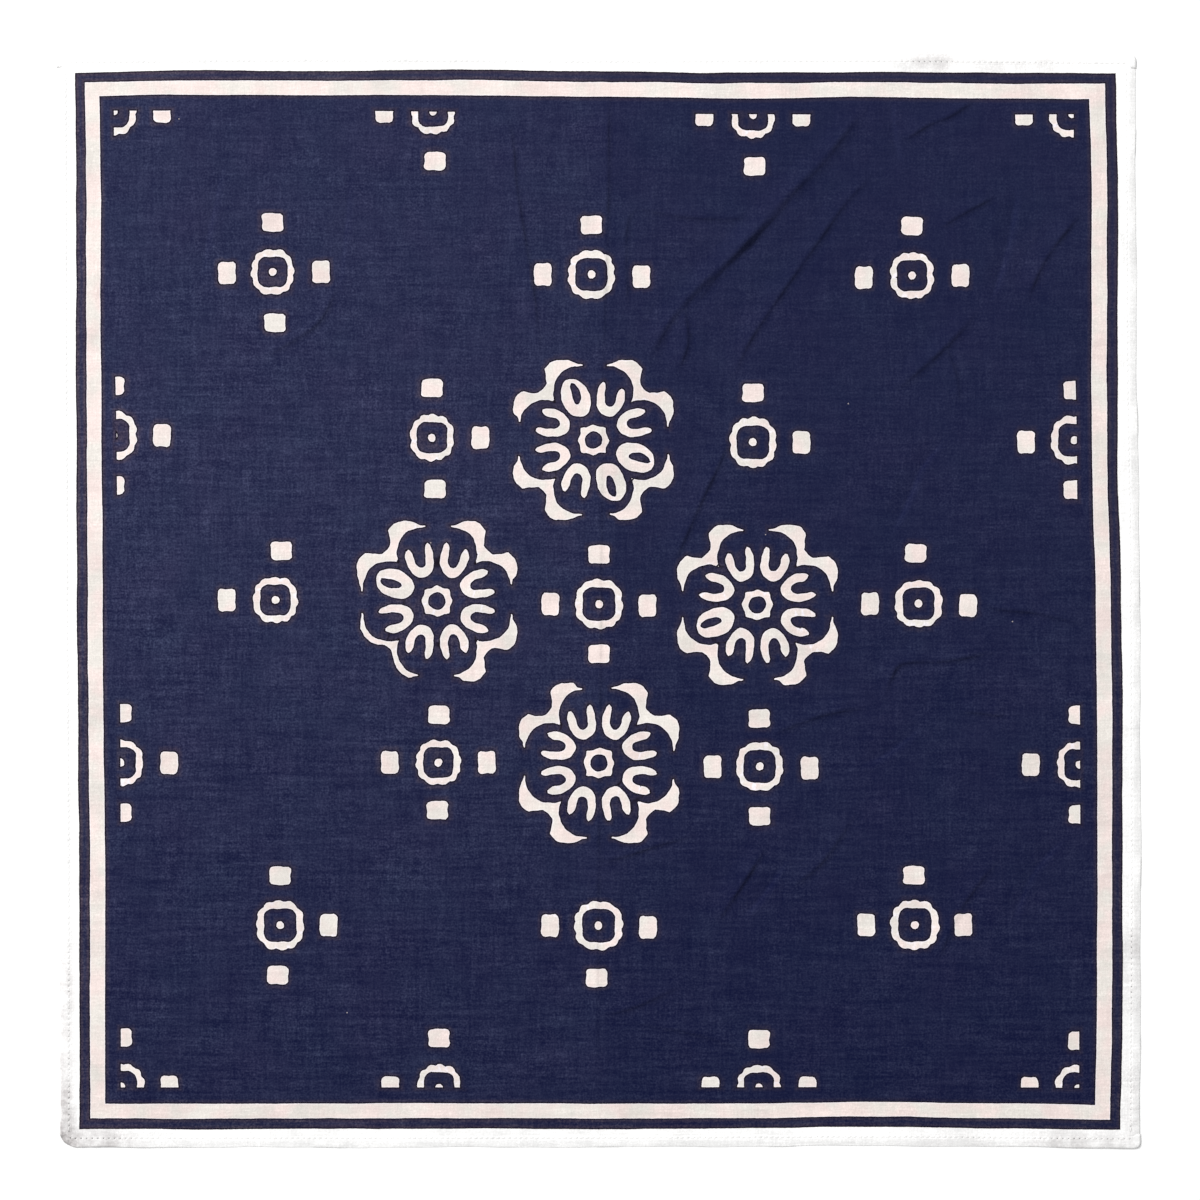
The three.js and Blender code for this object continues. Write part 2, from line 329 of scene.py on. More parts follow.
# How far along the hems the two bottom corners are puckered and lifted, how much each hem is lifted there,
# and how flat its edge is pressed elsewhere, over what depth.
PUCKERED_CORNER_REACH = 38
LIFTED_CORNER_REACH = 90
LIFTED_SHARE = {"bottom": 1.0, "left": 1.0, "right": 0.4, "top": 0.4}
PRESSED_EDGE = 0.1
PRESSED_DEPTH = 4.0

# Painted shade on the edges, in millimetres: middle, half width, half height, and how dark each is.
EDGE_SHADE_PATCHES = [
    (-269, -258, 8, 30, 1.0),
    (-254, -271, 26, 7.5, 0.75),
    (-268, -194, 7, 24, 0.5),
    (-267, -226, 7, 20, 0.3),
    (238, -271, 26, 7, 0.5),
    (180, -271, 24, 7, 0.12),
    (266, -180, 8, 34, 0.4),
    (264, -250, 9, 26, 0.3),
    (166, 268, 16, 9, 0.45),
    (218, 268, 44, 9, 0.2),
]

# Colours of the cloth, the thread and the floor, linear
DARK_NAVY = (0.0095, 0.0122, 0.0442, 1)
# The lighter navy: partly worn dye, partly painted light (sheen from the upper left, the fold's lit side)
WORN_AND_LIT_NAVY = (0.0255, 0.0292, 0.073, 1)
LIGHTER_YARN = (0.036, 0.040, 0.066)
PURPLE_CAST = (1.05, 0.98, 1.0, 1)
TEAL_CAST = (0.95, 1.03, 1.0, 1)
EDGE_CAST = (1.72, 1.3, 0.96, 1)
STRIPE_CAST = (1.4, 1.28, 1.08, 1)
EDGE_INK = (0.0105, 0.0075, 0.014, 1)
PALE_COTTON = (0.8, 0.716, 0.684, 1)
EDGE_COTTON = (0.92, 0.875, 0.94, 1)
WHITE_COTTON = (0.955, 0.95, 0.945, 1)
PINK_STAIN = (1.035, 0.985, 0.985, 1)
GREEN_STAIN = (0.955, 1.01, 0.99, 1)
# The grey tint of the painted shade on the edges
EDGE_SHADE_TINT = (0.97, 0.93, 0.93, 1)
THREAD_WHITE = (0.88, 0.87, 0.86, 1)
FLOOR_WHITE = (0.99, 0.99, 0.99, 1)
FLOOR_GREY = (0.97, 0.97, 0.97, 1)
# A tint that changes nothing
NO_TINT = (1, 1, 1, 1)
# Painted shadow inside the needle holes
HOLE_SHADOW = (0.1, 0.095, 0.1, 1)

# Finishes of the cotton and the floor, then the weave's pitch and the yarns' relief in millimetres
COTTON_FINISH = {
    "Roughness": 0.95,
    "Specular IOR Level": 0.03,
    "Sheen Weight": 0.01,
    "Sheen Roughness": 0.6,
}
FLOOR_FINISH = {"Roughness": 0.9, "Specular IOR Level": 0.1}
YARN_PITCH = 0.55
YARN_RELIEF = 0.15

# How worn the dye is, with painted light: a painted sheen that lifts the navy towards the upper left, where
# the light comes from, and a step at the middle fold that paints its lit left side and shaded right side.
# Steps from the left edge to the right one, then from the bottom edge to the top one
WEAR_AND_LIGHT_ACROSS = [(0.0, 1.0), (0.25, 0.9), (0.49, 0.72), (0.515, 0.43), (0.7, 0.29), (0.82, 0.28), (1.0, 0.36)]
WEAR_AND_LIGHT_UP = [(0.0, 0.36), (0.15, 0.45), (0.32, 0.66), (0.5, 0.88), (0.62, 1.0), (0.8, 0.9), (1.0, 0.86)]


def smooth(t):
    """Eases from 0 to 1."""
    t = np.clip(t, 0, 1)
    return t * t * (3 - 2 * t)


def inset_at(insets, share):
    """The inset of one edge in metres, a share of the way along it."""
    table = np.array(insets) * MM
    place = np.clip(share, 0, 1) * (len(insets) - 1)
    step = np.minimum(place.astype(int), len(insets) - 2)
    return table[step] + (table[step + 1] - table[step]) * smooth(place - step)


def between_edges(insets, x, y):
    """Left, right, bottom and top edge at each place."""
    share_up = y / CLOTH_LENGTH + 0.5
    share_across = x / CLOTH_WIDTH + 0.5
    left = -CLOTH_WIDTH / 2 + inset_at(insets["left"], share_up)
    right = CLOTH_WIDTH / 2 - inset_at(insets["right"], share_up)
    bottom = -CLOTH_LENGTH / 2 + inset_at(insets["bottom"], share_across)
    top = CLOTH_LENGTH / 2 - inset_at(insets["top"], share_across)
    return left, right, bottom, top


def round_corners(u, v):
    """Draws the square corners of the cut cloth in to their rounded corners."""
    radius = np.zeros_like(u)
    for name, size in CORNER_RADII.items():
        at_side = (u < 0) if name.endswith("left") else (u >= 0)
        at_end = (v < 0) if name.startswith("bottom") else (v >= 0)
        radius[at_side & at_end] = size * MM
    a = np.maximum((np.abs(u) - CLOTH_WIDTH / 2) / radius + 1, 0)
    b = np.maximum((np.abs(v) - CLOTH_LENGTH / 2) / radius + 1, 0)
    inside = (a > 0) & (b > 0)
    across = CLOTH_WIDTH / 2 - radius + radius * a * np.sqrt(1 - b * b / 2)
    along = CLOTH_LENGTH / 2 - radius + radius * b * np.sqrt(1 - a * a / 2)
    return np.where(inside, np.sign(u) * across, u), np.where(inside, np.sign(v) * along, v)


def lay_down(u, v):
    """Where points of the square cut cloth lie once the bandana is laid down."""
    across, along = round_corners(u, v)
    left, right, bottom, top = between_edges(EDGE_INSETS, across, along)
    x = left + (right - left) * (across / CLOTH_WIDTH + 0.5)
    y = bottom + (top - bottom) * (along / CLOTH_LENGTH + 0.5)
    return x, y


def inside_lines(insets, x, y):
    """How far laid points lie in from the nearer side line and from the nearer end line, in metres."""
    left, right, bottom, top = between_edges(insets, x, y)
    return np.minimum(x - left, right - x), np.minimum(y - bottom, top - y)


def inside_frame(x, y):
    """The same for the print's outer line, evened out so that the frame is equally wide all round."""
    share_up = y / CLOTH_LENGTH + 0.5
    share_across = x / CLOTH_WIDTH + 0.5
    left, right = (inset_at(FRAME_WIDTHS[side], share_up) for side in ("left", "right"))
    bottom, top = (inset_at(FRAME_WIDTHS[side], share_across) for side in ("bottom", "top"))
    from_side, from_end = inside_lines(PRINT_INSETS, x, y)
    even_width = (STRIPE_WIDTH + BAND_WIDTH) * MM
    side_share = even_width / np.where(x < 0, left, right)
    end_share = even_width / np.where(y < 0, bottom, top)
    return from_side * side_share, from_end * end_share


def distance_along(path, points):
    """For each point, how far it lies from a path, how far along it, and whether on its left."""
    nearest = np.full(len(points), np.inf)
    along = np.zeros(len(points))
    on_left = np.zeros(len(points), bool)
    passed = 0.0
    for start, end in zip(path[:-1], path[1:]):
        way = end - start
        offset = points - start
        length = np.linalg.norm(way)
        t = np.clip((offset @ way) / length**2, 0, 1)
        distance = np.linalg.norm(offset - t[:, None] * way, axis=1)
        closer = distance < nearest
        along = np.where(closer, passed + t * length, along)
        on_left = np.where(closer, way[0] * offset[:, 1] - way[1] * offset[:, 0] > 0, on_left)
        nearest = np.where(closer, distance, nearest)
        passed += length
    return nearest, along, on_left


def crease_height(x, y):
    """How high the creases lift laid points, in metres."""
    points = np.stack([x, y], axis=-1) / MM
    height = np.zeros(len(points))
    for rise, drop, places in CREASES:
        path = through(places, CREASE_CURVE_STEPS)
        middle = (path.max(axis=0) + path.min(axis=0)) / 2
        half_size = np.ptp(path, axis=0) / 2 + CREASE_REACH
        close = (np.abs(points - middle) < half_size).all(axis=1)
        nearest, along, on_left = distance_along(path, points[close])
        length = np.linalg.norm(np.diff(path, axis=0), axis=1).sum()
        share = along / length
        taper = smooth(np.minimum(share, 1 - share) / CREASE_TAPER)
        uneven = 1 + 0.25 * np.sin(along / 5.3 + length) + 0.15 * np.sin(along / 2.1)
        gentle = np.interp(nearest, *zip(*GENTLE_SIDE))
        steep = np.interp(nearest / drop, *zip(*STEEP_SIDE))
        height[close] += rise * MM * taper * uneven * np.where(on_left, steep, gentle)
    return height


def ripple_height(x, y):
    """The cloth's faint unevenness, in metres."""
    height = np.zeros_like(x)
    for rise, wavelength, degrees in RIPPLES:
        angle = math.radians(degrees)
        across = x * math.cos(angle) + y * math.sin(angle)
        along = y * math.cos(angle) - x * math.sin(angle)
        turns = 2 * math.pi / (wavelength * MM)
        patches = 0.5 + 0.5 * np.sin(along * turns / 3.7 + wavelength)
        height += rise * MM * patches * np.sin(across * turns + 0.8 * np.sin(along * turns / 2.9))
    return height


def top_height(x, y):
    """The height of the panel's face: low at the hems, loose on the floor within."""
    to_side = CLOTH_WIDTH / 2 - np.abs(x)
    to_end = CLOTH_LENGTH / 2 - np.abs(y)
    inward = np.minimum(to_side, to_end)
    level = PANEL_RIM_TOP + (PANEL_TOP - PANEL_RIM_TOP) * smooth((inward - 6.5 * MM) / (36 * MM))
    clear_of_hem = smooth((inward - 8 * MM) / (8 * MM))
    height = level + clear_of_hem * (ripple_height(x, y) + crease_height(x, y))
    return np.maximum(height, PANEL_LOWEST)


def distance_to_outline(points, outline):
    """Signed distance to a closed outline, negative inside."""
    start = outline
    way = np.roll(outline, -1, axis=0) - start
    offset = points[:, None, :] - start[None]
    t = np.clip((offset * way).sum(-1) / np.maximum((way * way).sum(-1), 1e-12), 0, 1)
    nearest = np.linalg.norm(offset - t[..., None] * way, axis=-1).min(axis=1)
    end_y = start[:, 1] + way[:, 1]
    crosses = (start[:, 1] > points[:, 1:2]) != (end_y > points[:, 1:2])
    rise = np.where(way[:, 1] == 0, 1e-12, way[:, 1])
    cross_x = start[:, 0] + (points[:, 1:2] - start[:, 1]) * way[:, 0] / rise
    inside = (crosses & (points[:, 0:1] < cross_x)).sum(axis=1) % 2 == 1
    return np.where(inside, -nearest, nearest)


def distance_to_stroke(points, stroke):
    """Signed distance to a stroke of changing width, negative inside."""
    start = stroke[:-1]
    way = stroke[1:] - start
    offset = points[:, None, :] - start[None, :, :2]
    t = np.clip((offset * way[:, :2]).sum(-1) / (way[:, :2] ** 2).sum(-1), 0, 1)
    distance = np.linalg.norm(offset - t[..., None] * way[:, :2], axis=-1)
    return (distance - start[:, 2] - t * way[:, 2]).min(axis=1)


def through(rows, steps=5):
    """A smooth curve through the rows of a table."""
    rows = np.array(rows, float)
    padded = np.vstack([2 * rows[0] - rows[1], rows, 2 * rows[-1] - rows[-2]])
    curve = []
    for before, start, end, after in zip(padded, padded[1:], padded[2:], padded[3:]):
        for t in np.arange(steps) / steps:
            bend = 2 * before - 5 * start + 4 * end - after
            twist = 3 * (start - end) + after - before
            curve.append(start + 0.5 * t * (end - before + t * (bend + t * twist)))
    curve.append(rows[-1])
    return np.array(curve)


def turned(points, degrees):
    """The points turned clockwise, as seen from a motif that is turned anticlockwise."""
    angle = math.radians(degrees)
    across = points[:, 0] * math.cos(angle) + points[:, 1] * math.sin(angle)
    up = points[:, 1] * math.cos(angle) - points[:, 0] * math.sin(angle)
    return np.stack([across, up], axis=-1)


def hand_cut(points):
    """A slight waver, so that no two motifs are quite alike."""
    across, up = points[:, 0], points[:, 1]
    wave_across = 0.14 * np.sin(0.61 * up + 0.13 * across) + 0.1 * np.sin(1.37 * up - 0.5 * across)
    wave_up = 0.14 * np.sin(0.57 * across - 0.11 * up + 1.0) + 0.1 * np.sin(1.21 * across + 0.4 * up)
    return points + np.stack([wave_across, wave_up], axis=-1)


def distance_to_box(points, half_width, half_length, corner):
    """Signed distance to a box with rounded corners, negative inside."""
    over = np.abs(points) - (half_width - corner, half_length - corner)
    outside = np.linalg.norm(np.maximum(over, 0), axis=1)
    return outside + np.minimum(over.max(axis=1), 0) - corner


def oval(half_width, half_length, power, steps=48):
    """An oval that is squarer the higher its power."""
    angle = np.linspace(0, 2 * math.pi, steps, endpoint=False)
    across, up = np.cos(angle), np.sin(angle)
    radius = 1 / (np.abs(across) ** power + np.abs(up) ** power) ** (1 / power)
    return np.stack([half_width * radius * across, half_length * radius * up], axis=-1)


def ring_outline(width, height, phase):
    """An oval edged with small scallops."""
    outline = oval(1.0, 1.0, RING_SQUARENESS, RING_STEPS)
    angle = np.linspace(0, 2 * math.pi, RING_STEPS, endpoint=False)
    bumps = np.abs(np.sin(RING_SCALLOPS / 2 * angle + phase + 0.5 * np.sin(2 * angle + phase)))
    radius = 1 - (1 - bumps) * SCALLOP_DEPTH / (width / 2)
    return outline * radius[:, None] * (width / 2, height / 2)


def block_distance(points, side):
    """Distance to one rounded block, pinched in the middle of its short sides."""
    local = turned(points, BLOCK_TURN[side]) - (0, BLOCK_REACH[side])
    half_width = BLOCK_HALF_WIDTH[side]
    half_length = BLOCK_HALF_LENGTH[side]
    pinch = BLOCK_PINCH * np.cos(np.clip(local[:, 1] / half_length, -1, 1) * math.pi / 2) ** 2
    local[:, 0] = local[:, 0] * half_width / (half_width - pinch)
    return distance_to_box(local, half_width, half_length, BLOCK_CORNER)


def ring_distance(points, width, height, blocks, shifts):
    """Distance to a scalloped ring, its dot and its blocks."""
    outer = distance_to_outline(points, ring_outline(width, height, phase=width + 2.3 * height))
    half_hole = RING_HOLE_SHARE * (width + height) / 2
    hole = distance_to_box(points, half_hole, half_hole * 1.02, half_hole * RING_HOLE_ROUNDNESS)
    dot = np.linalg.norm(points * (1.0, 0.95), axis=1) - DOT_RADIUS
    distance = np.minimum(np.maximum(outer, -hole), dot)
    for side in blocks:
        distance = np.minimum(distance, block_distance(points - shifts.get(side, (0, 0)), side))
    return distance


def star_distance(points):
    """The toothed ring in a rosette's middle."""
    angle = np.linspace(0, 2 * math.pi, 128, endpoint=False)
    tip = np.where(np.abs(np.cos(2 * angle)) > 0.5, STAR_TIP, STAR_CORNER)
    radius = STAR_VALLEY + (tip - STAR_VALLEY) * (1 - np.abs(np.sin(4 * angle)))
    outline = np.stack([radius * np.cos(angle), radius * np.sin(angle)], axis=-1)
    hole = np.linalg.norm(points, axis=1) - STAR_HOLE
    return np.maximum(distance_to_outline(points, outline), -hole)


def petal_distance(points, closed):
    """One petal to the right of a lobe's middle, open or closed."""
    if not closed:
        return distance_to_stroke(points, through(OPEN_PETAL))
    petal = CLOSED_PETAL
    local = points - (petal["across"], petal["out"])
    local[:, 0] -= petal["lean"] * local[:, 1]
    slot = distance_to_stroke(points, through(PETAL_SLOT))
    outer = distance_to_outline(local, oval(petal["half_width"], petal["half_length"], PETAL_SQUARENESS))
    return np.maximum(outer, -slot)


def half_wing(horn, outer_rows):
    """Half of a wing's outline: from the cusp to the horn's tip, and down its outer side."""
    share = np.concatenate([np.linspace(horn / LOBE_ACROSS, 0.9, 12), [0.94, 0.97, 0.99, 1.0]])
    rise = (1 - share**LOBE_SQUARENESS) ** (1 / LOBE_SQUARENESS)
    inner = np.stack([LOBE_ACROSS * share, LOBE_OUT + LOBE_RISE * rise], axis=-1)
    inner = np.vstack([inner[:-1], WING_NECK])
    tip = inner[0] + (0, HORN_THICKNESS)
    behind_tip = tip + (HORN_LENGTH, HORN_RISE)
    return np.vstack([inner[::-1], tip, behind_tip, outer_rows])


def wing_outline(outer_rows, horns):
    """The corner piece between two lobes, in the upper right."""
    one = half_wing(horns[0], outer_rows)
    other = half_wing(horns[1], outer_rows)
    return np.vstack([[(WING_CUSP, WING_CUSP)], one, other[::-1, ::-1]])


def rosette_distance(points, closed_petals, thin_wings, horns):
    """Distance to a rosette: its star, eight petals and four wings."""
    distance = star_distance(points)
    for lobe in range(4):
        local = turned(points, 90 * lobe)
        outer_rows = THIN_WING_OUTER if lobe in thin_wings else WING_OUTER
        wing = distance_to_outline(local, wing_outline(outer_rows, horns[lobe]))
        left_petal = petal_distance(local * (-1, 1), 2 * lobe in closed_petals)
        right_petal = petal_distance(local, (2 * lobe - 1) % 8 in closed_petals)
        distance = np.minimum(np.minimum(distance, wing), np.minimum(left_petal, right_petal))
    return distance


def ornament_distance(x, y):
    """Signed distance from each laid point to the nearest ornament, in metres, negative inside."""
    far = 3.0
    points = hand_cut(np.stack([x, y], axis=-1) / MM)
    distance = np.full(len(points), far)
    for across, up, *ring in RINGS:
        local = points - (across, up)
        near = np.abs(local).max(axis=1) < RING_REACH
        distance[near] = np.minimum(distance[near], ring_distance(local[near], *ring))
    for rosette in ROSETTES:
        local = points - rosette["middle"]
        near = np.abs(local).max(axis=1) < ROSETTE_REACH
        found = rosette_distance(local[near], rosette["closed"], rosette["thin"], rosette["horns"])
        distance[near] = np.minimum(distance[near], found)
    return np.clip(distance, -far, far) * MM


def new_piece(name, vertices, faces):
    """A smooth mesh object from its points, in metres, and its faces."""
    mesh = bpy.data.meshes.new(name)
    mesh.from_pydata([tuple(v) for v in vertices], [], faces)
    mesh.update()
    mesh.polygons.foreach_set("use_smooth", [True] * len(mesh.polygons))
    piece = bpy.data.objects.new(name, mesh)
    bpy.context.collection.objects.link(piece)
    return piece


def select_only(piece):
    """Deselects all else, so that operators act on this piece alone."""
    bpy.ops.object.select_all(action="DESELECT")
    piece.select_set(True)
    bpy.context.view_layer.objects.active = piece


def crease_points():
    """Rows of laid points along each crease, so that its crest is sharp."""
    rows = []
    for _, drop, places in CREASES:
        path = through(places, CREASE_CURVE_STEPS)
        lengths = np.linalg.norm(np.diff(path, axis=0), axis=1)
        passed = np.concatenate([[0], np.cumsum(lengths)])
        along = np.arange(CREASE_STEP, passed[-1] - CREASE_STEP, CREASE_STEP)
        middle = np.stack([np.interp(along, passed, path[:, i]) for i in (0, 1)], axis=-1)
        way = np.gradient(middle, axis=0)
        sideways = np.stack([-way[:, 1], way[:, 0]], axis=-1) / np.linalg.norm(way, axis=1)[:, None]
        steps = [-distance for distance, _ in GENTLE_SIDE] + [EXTRA_ROW]
        steps += [distance * drop for distance, _ in STEEP_SIDE[1:]] + [drop / 2]
        rows.extend(middle + step * sideways for step in steps)
    return np.vstack(rows) * MM


def horn_points():
    """Close laid points about the tip of each horn, so that it is printed sharp."""
    beside_tip = np.arange(-1.2, 3.8, 0.5)
    above_tip = np.arange(-1.0, 1.6, 0.5)
    across, out = [grid.ravel() for grid in np.meshgrid(beside_tip, above_tip)]
    rows = []
    for rosette in ROSETTES:
        for lobe, (first, second) in enumerate(rosette["horns"]):
            for horn, mirrored in ((first, False), (second, True)):
                rise = (1 - (horn / LOBE_ACROSS) ** LOBE_SQUARENESS) ** (1 / LOBE_SQUARENESS)
                local = np.stack([horn + across, LOBE_OUT + LOBE_RISE * rise + out], axis=-1)
                local = local[:, ::-1] if mirrored else local
                rows.append(turned(local, -90 * lobe) + rosette["middle"])
    return np.vstack(rows) * MM


def panel_points():
    """The panel's laid points: its rim first, in order, then its inside.

    The inside is an even grid, with finer points at the ornaments' outlines and rows along the creases.
    """
    half_width = CLOTH_WIDTH / 2 - HEM_DEPTH - SEAM_GAP / 2
    half_length = CLOTH_LENGTH / 2 - HEM_DEPTH - SEAM_GAP / 2
    coarse = COARSE_EVERY * FINE_STEP * MM
    columns = COARSE_EVERY * math.ceil(2 * half_width / coarse) + 1
    rows = COARSE_EVERY * math.ceil(2 * half_length / coarse) + 1
    i, j = [index.ravel() for index in np.meshgrid(np.arange(columns), np.arange(rows), indexing="ij")]
    x, y = lay_down((i / (columns - 1) * 2 - 1) * half_width, (j / (rows - 1) * 2 - 1) * half_length)
    on_grid = (i % COARSE_EVERY == 0) & (j % COARSE_EVERY == 0)
    on_rim = (i == 0) | (i == columns - 1) | (j == 0) | (j == rows - 1)
    at_outline = np.abs(ornament_distance(x, y)) < OUTLINE_REACH * MM
    off_crease = np.abs(crease_height(x, y)) < 0.02 * MM
    inside = ~on_rim & (at_outline | (on_grid & off_crease))
    rim = on_grid & on_rim
    rim_order = np.argsort(np.arctan2(y[rim], x[rim]))
    rim_points = np.stack([x[rim], y[rim]], axis=-1)[rim_order]
    creased = np.vstack([crease_points(), horn_points()])
    edge = CREASE_OFF_RIM * MM
    within = (np.abs(creased) < (half_width - edge, half_length - edge)).all(axis=1)
    inner_points = np.vstack([np.stack([x[inside], y[inside]], axis=-1), creased[within]])
    return rim_points, inner_points


def store_place(piece, name, columns):
    """Three values at each corner of a piece, for its material."""
    attribute = piece.data.attributes.new(name, "FLOAT_VECTOR", "POINT")
    attribute.data.foreach_set("vector", np.column_stack(columns).astype(np.float32).ravel())


def make_panel():
    """The printed square, a thin closed shell."""
    rim, inner = panel_points()
    flat = [Vector(point) for point in np.vstack([rim, inner]) / MM]
    rim_edges = [(k, (k + 1) % len(rim)) for k in range(len(rim))]
    inside_the_rim = 1
    placed, _, faces, *_ = delaunay_2d_cdt(flat, rim_edges, [], inside_the_rim, MERGE_DISTANCE)
    x, y = np.array([(p.x, p.y) for p in placed]).T * MM
    panel = new_piece("printed_panel", np.stack([x, y, top_height(x, y)], axis=-1), faces)
    store_place(panel, "frame_place", [*inside_frame(x, y), np.zeros_like(x)])
    store_place(panel, "window_place", [*inside_lines(WINDOW_INSETS, x, y), ornament_distance(x, y)])
    panel.data.materials.append(printed_cloth("printed face", ink=1.0))
    panel.data.materials.append(printed_cloth("printed back", ink=0.72))
    thickness = panel.modifiers.new("gauze thickness", "SOLIDIFY")
    thickness.thickness = GAUZE_THICKNESS
    thickness.offset = -1
    thickness.material_offset = 1
    select_only(panel)
    bpy.ops.object.modifier_apply(modifier=thickness.name)
    bpy.ops.object.shade_smooth_by_angle(angle=math.radians(SHARP_ANGLE))
    return panel


def hem_place(side, along, inward):
    """A point of the cut cloth, along one side and inward from it."""
    if side == "bottom":
        return along, -CLOTH_LENGTH / 2 + inward
    if side == "top":
        return along, CLOTH_LENGTH / 2 - inward
    if side == "left":
        return -CLOTH_WIDTH / 2 + inward, along
    return CLOTH_WIDTH / 2 - inward, along


def hem_reach(side):
    """Half the length of a hem: the bottom and top ones run right across, the others between them."""
    if side in ("bottom", "top"):
        return CLOTH_WIDTH / 2
    return CLOTH_LENGTH / 2 - HEM_DEPTH + SEAM_GAP


def edge_waver(along):
    """How the sewn edge strays in and out along its length, in metres."""
    return (0.22 * np.sin(along / MM / 15) + 0.13 * np.sin(along / MM / 5.7 + 1.0) + 0.35) * MM


def near_bottom_corner(side, along, reach):
    """1 at the two bottom corners, falling to 0 at the reach along the hem."""
    if side == "bottom":
        from_corner = CLOTH_WIDTH / 2 - np.abs(along)
    elif side == "top":
        from_corner = np.full_like(along, reach * MM)
    else:
        from_corner = along + CLOTH_LENGTH / 2
    return smooth(1 - from_corner / (reach * MM))


def pucker(side, along, inward):
    """How far the hem's upper side is puckered up or down: most near the two bottom corners."""
    near_corner = near_bottom_corner(side, along, PUCKERED_CORNER_REACH)
    a, i = along[:, None] / MM, inward / MM
    waves = np.sin(a / 0.9 + 0.5 * i) + 0.8 * np.sin(a / 1.6 - 0.4 * i + 2.0)
    waves = waves + 0.9 * np.sin(a / 3.4 + 0.25 * i)
    return (0.015 + 0.13 * near_corner)[:, None] * smooth(i / 1.2) * smooth((6.0 - i) / 2.0) * waves * MM


def hem_grid(side):
    """Stations along a hem, its section at each as distance in from the edge and height, and its holes."""
    reach = hem_reach(side)
    pitches = np.arange(-math.floor(reach / STITCH_PITCH / MM) + 1, math.floor(reach / STITCH_PITCH / MM))
    along = (pitches[:, None] + np.array(HOLE_STATIONS)[None]).ravel() * STITCH_PITCH * MM
    from_end = np.array(END_STATIONS) * MM
    along = np.concatenate([-reach + from_end, along, reach - from_end[::-1]])
    at_hole = np.zeros(len(along))
    at_hole[3:-3] = np.tile(np.array(HOLE_STATIONS) == 0, len(pitches))
    section = np.array(HEM_SECTION) * MM
    inward = np.repeat(section[None, :, 0], len(along), axis=0)
    height = np.repeat(section[None, :, 1], len(along), axis=0)
    on_row = (section[:, 0] == STITCH_ROW * MM)[None] * at_hole[:, None]
    near_edge = np.clip(1 - inward / (4.4 * MM), 0, 1)
    inward = inward + edge_waver(along)[:, None] * near_edge
    raised = height > 0.65 * MM
    height = height + raised * pucker(side, along, inward) - on_row * HOLE_DEPTH * MM
    waves = np.sin(along / MM / 9 + 1.0) * np.sin(along / MM / 37 + 2.0)
    by_corner = LIFTED_SHARE[side] * near_bottom_corner(side, along, LIFTED_CORNER_REACH)
    lifted = np.maximum(by_corner, 0.5 * smooth((waves - 0.45) / 0.4))
    pressed = (1 - PRESSED_EDGE) * (1 - lifted)
    height = height * (1 - pressed[:, None] * np.clip(1 - inward / (PRESSED_DEPTH * MM), 0, 1))
    to_end = np.clip((reach - np.abs(along)) / from_end[-1], 0, 1)
    roundness = END_HEIGHT + (1 - END_HEIGHT) * np.sqrt(1 - (1 - to_end) ** 2)
    return along, inward, height * roundness[:, None], on_row


def make_hem(side):
    """One turned edge as a closed strip."""
    along, inward, height, holes = hem_grid(side)
    u, v = hem_place(side, np.repeat(along[:, None], inward.shape[1], axis=1), inward)
    x, y = lay_down(u.ravel(), v.ravel())
    vertices = np.stack([x, y, height.ravel()], axis=-1)
    stations, around = inward.shape
    faces = []
    for station in range(stations - 1):
        for i in range(around):
            a, b = station * around + i, station * around + (i + 1) % around
            faces.append((a, b, b + around, a + around))
    faces.append(tuple(range(around)))
    faces.append(tuple(range((stations - 1) * around, stations * around)))
    hem = new_piece(f"turned_hem_{side}", vertices, faces)
    attribute = hem.data.attributes.new("needle_hole", "FLOAT", "POINT")
    attribute.data.foreach_set("value", holes.astype(np.float32).ravel())
    hem.data.materials.append(plain_cloth("unprinted hem"))
    select_only(hem)
    bpy.ops.object.mode_set(mode="EDIT")
    bpy.ops.mesh.select_all(action="SELECT")
    bpy.ops.mesh.normals_make_consistent(inside=False)
    bpy.ops.object.mode_set(mode="OBJECT")
    return hem


def one_stitch():
    """A short thread, low at both ends, lying along X at the origin."""
    bpy.ops.object.select_all(action="DESELECT")
    bpy.ops.mesh.primitive_uv_sphere_add(segments=6, ring_count=5, radius=0.5)
    stitch = bpy.context.active_object
    stitch.rotation_euler = (0, math.pi / 2, 0)
    bpy.ops.object.transform_apply(location=False, rotation=True, scale=False)
    stitch.scale = (STITCH_LENGTH * MM, THREAD_THICKNESS * MM, THREAD_THICKNESS * MM)
    bpy.ops.object.transform_apply(location=False, rotation=False, scale=True)
    return stitch


def stitch_places():
    """Where each stitch lies, and which way it runs: between two needle holes."""
    places = []
    for side in ("bottom", "top", "left", "right"):
        pitches = math.floor(hem_reach(side) / STITCH_PITCH / MM)
        for k in range(-pitches + 1, pitches - 1):
            middle = (k + 0.5) * STITCH_PITCH * MM
            ends = np.array([middle - MM, middle, middle + MM])
            u, v = hem_place(side, ends, np.full(3, STITCH_ROW * MM))
            x, y = lay_down(u, v)
            places.append((x[1], y[1], math.atan2(y[2] - y[0], x[2] - x[0])))
    return places


def make_stitching():
    """Every stitch of the four hems, copied from one and joined."""
    stitch = one_stitch()
    shape = np.array([v.co for v in stitch.data.vertices])
    faces = [tuple(p.vertices) for p in stitch.data.polygons]
    vertices = []
    all_faces = []
    for x, y, angle in stitch_places():
        c, s = math.cos(angle), math.sin(angle)
        first = len(vertices)
        for px, py, pz in shape:
            vertices.append((x + c * px - s * py, y + s * px + c * py, STITCH_HEIGHT * MM + pz))
        all_faces.extend(tuple(first + i for i in face) for face in faces)
    bpy.data.objects.remove(stitch)
    stitching = new_piece("hem_stitching", vertices, all_faces)
    stitching.data.materials.append(sewing_thread())
    return stitching


